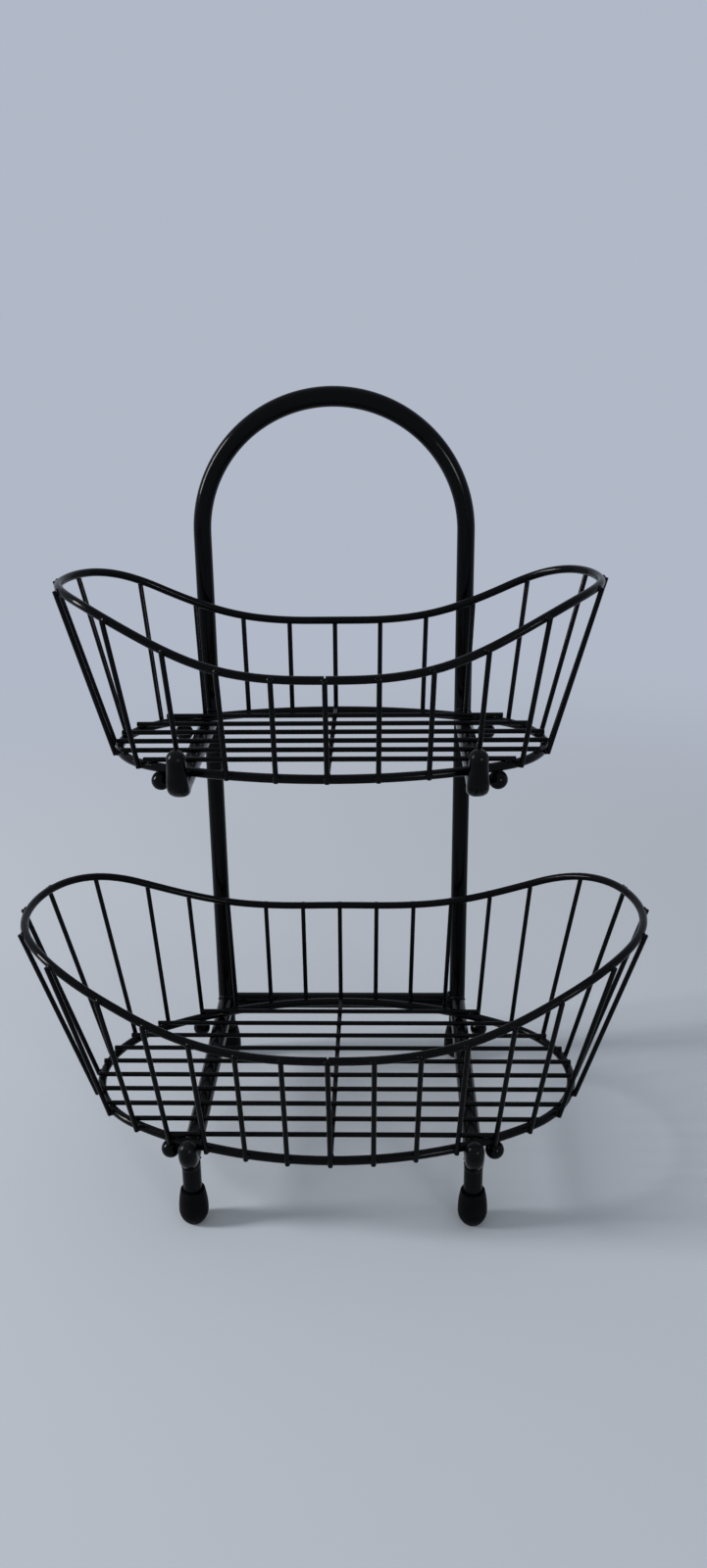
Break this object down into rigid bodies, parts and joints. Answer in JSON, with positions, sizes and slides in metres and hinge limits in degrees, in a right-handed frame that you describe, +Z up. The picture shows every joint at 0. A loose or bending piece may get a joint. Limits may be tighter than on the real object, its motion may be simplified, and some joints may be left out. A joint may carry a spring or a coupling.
{
  "type": "tiered wire basket",
  "caption": "Free-standing tiered wire basket: oval wire baskets lift off the hooked arms of a tube stand whose arched top is the carrying handle, for fruit or household goods.",
  "frame": {"origin": "middle of the bounding box in X and Y, at the height of the table that the foot caps stand on", "axes": "+X to the right as seen from the front, +Y towards the uprights at the rear, +Z up"},
  "size_m": [0.3594, 0.206, 0.44],
  "materials": {
    "stand_paint": "gloss black paint on steel tube",
    "wire_paint": "gloss black paint on steel wire",
    "ball_paint": "gloss black paint on steel balls",
    "plug_plastic": "gloss black plastic",
    "foot_rubber": "matt black rubber"
  },
  "bodies": {
    "stand": {"foot_cap_front_left": "foot_rubber", "foot_cap_front_right": "foot_rubber", "foot_cap_rear_left": "foot_rubber", "foot_cap_rear_right": "foot_rubber", "front_leg_left": "stand_paint", "front_leg_right": "stand_paint", "handle_tube": "stand_paint", "hook_plug_lower_left": "plug_plastic", "hook_plug_lower_right": "plug_plastic", "hook_plug_upper_left": "plug_plastic", "hook_plug_upper_right": "plug_plastic", "lower_arm_left": "stand_paint", "lower_arm_right": "stand_paint", "rear_crossbar": "stand_paint", "upper_arm_left": "stand_paint", "upper_arm_right": "stand_paint"},
    "upper_basket": {"upper_ball_foot_front_left": "ball_paint", "upper_ball_foot_front_right": "ball_paint", "upper_ball_foot_rear_left": "ball_paint", "upper_ball_foot_rear_right": "ball_paint", "upper_base_ring": "wire_paint", "upper_centre_wire": "wire_paint", "upper_floor_wire_1": "wire_paint", "upper_floor_wire_2": "wire_paint", "upper_floor_wire_3": "wire_paint", "upper_floor_wire_4": "wire_paint", "upper_floor_wire_5": "wire_paint", "upper_floor_wire_6": "wire_paint", "upper_rim": "wire_paint", "upper_spokes_front": "wire_paint", "upper_spokes_left": "wire_paint", "upper_spokes_rear": "wire_paint", "upper_spokes_right": "wire_paint"},
    "lower_basket": {"lower_ball_foot_front_left": "ball_paint", "lower_ball_foot_front_right": "ball_paint", "lower_ball_foot_rear_left": "ball_paint", "lower_ball_foot_rear_right": "ball_paint", "lower_base_ring": "wire_paint", "lower_centre_wire": "wire_paint", "lower_floor_wire_1": "wire_paint", "lower_floor_wire_10": "wire_paint", "lower_floor_wire_2": "wire_paint", "lower_floor_wire_3": "wire_paint", "lower_floor_wire_4": "wire_paint", "lower_floor_wire_5": "wire_paint", "lower_floor_wire_6": "wire_paint", "lower_floor_wire_7": "wire_paint", "lower_floor_wire_8": "wire_paint", "lower_floor_wire_9": "wire_paint", "lower_rim": "wire_paint", "lower_spokes_front": "wire_paint", "lower_spokes_left": "wire_paint", "lower_spokes_rear": "wire_paint", "lower_spokes_right": "wire_paint"}
  },
  "joints": [
    {"name": "upper_basket_lift", "type": "slide", "parent": "stand", "child": "upper_basket", "axis": [0, 0, 1], "range_m": [0, 0.12]},
    {"name": "lower_basket_lift", "type": "slide", "parent": "stand", "child": "lower_basket", "axis": [0, 0, 1], "range_m": [0, 0.08]}
  ]
}
